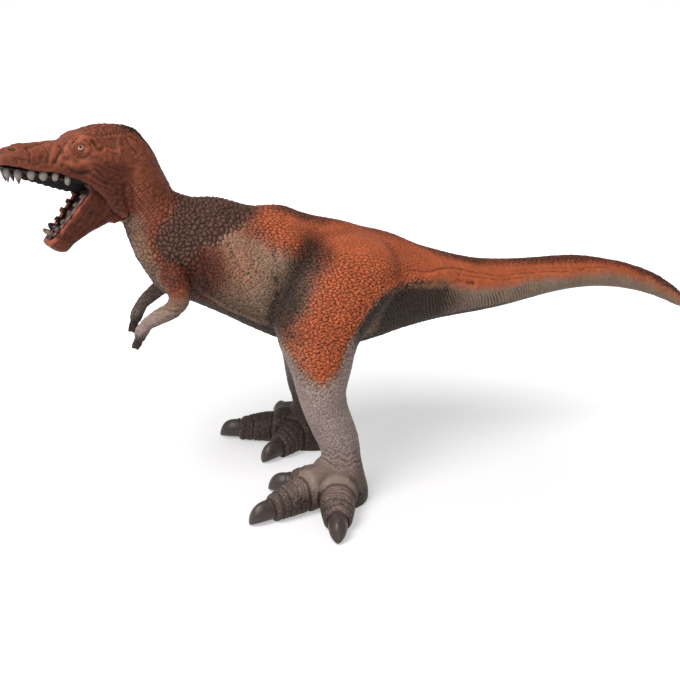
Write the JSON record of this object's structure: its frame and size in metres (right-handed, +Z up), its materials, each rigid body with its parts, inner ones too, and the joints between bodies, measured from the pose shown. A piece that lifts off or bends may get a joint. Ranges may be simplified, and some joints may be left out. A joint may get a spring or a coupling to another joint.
{
  "type": "toy dinosaur figure",
  "caption": "Soft vinyl hunting dinosaur figure with an open, hinged jaw and turning arms, standing on its hind feet.",
  "frame": {"origin": "on the floor, under the middle of the figure's box", "axes": "+Z up; the figure faces -X and its tail points to +X; its left side is -Y"},
  "size_m": [0.489, 0.2076, 0.25],
  "materials": {
    "orange_skin": "soft vinyl, matt, painted orange over tan",
    "brown_skin": "soft vinyl, matt, painted rust brown",
    "grey_skin": "soft vinyl, matt, mauve grey",
    "tan_skin": "soft vinyl, matt, pinkish tan",
    "claw": "dark brown, satin",
    "tooth": "off-white, satin",
    "eye": "glossy, painted",
    "pin": "plain round wire"
  },
  "bodies": {
    "body": {"torso_shell": "orange_skin", "head_shell": "brown_skin", "tail_shell": "orange_skin", "leg_left": "grey_skin", "leg_right": "grey_skin", "claw_left_inner": "claw", "claw_left_middle": "claw", "claw_left_outer": "claw", "claw_right_inner": "claw", "claw_right_middle": "claw", "claw_right_outer": "claw", "eye_left": "eye", "eye_right": "eye", "jaw_hinge_pin": "pin", "upper_teeth": "tooth"},
    "jaw": {"lower_jaw": "brown_skin", "lower_teeth": "tooth"},
    "left_arm": {"arm_left": "tan_skin"},
    "right_arm": {"arm_right": "tan_skin"}
  },
  "joints": [
    {"name": "jaw_hinge", "type": "hinge", "parent": "body", "child": "jaw", "pos_m": [-0.1886, -0.00436, 0.21548], "axis": [-0.342, 0.9397, 0], "range_deg": [0, 34]},
    {"name": "left_shoulder", "type": "hinge", "parent": "body", "child": "left_arm", "pos_m": [-0.14402, -0.01702, 0.15696], "axis": [0, 1, 0], "range_deg": [-8, 40]},
    {"name": "right_shoulder", "type": "hinge", "parent": "body", "child": "right_arm", "pos_m": [-0.14402, 0.03202, 0.15696], "axis": [0, 1, 0], "range_deg": [-8, 40]}
  ]
}
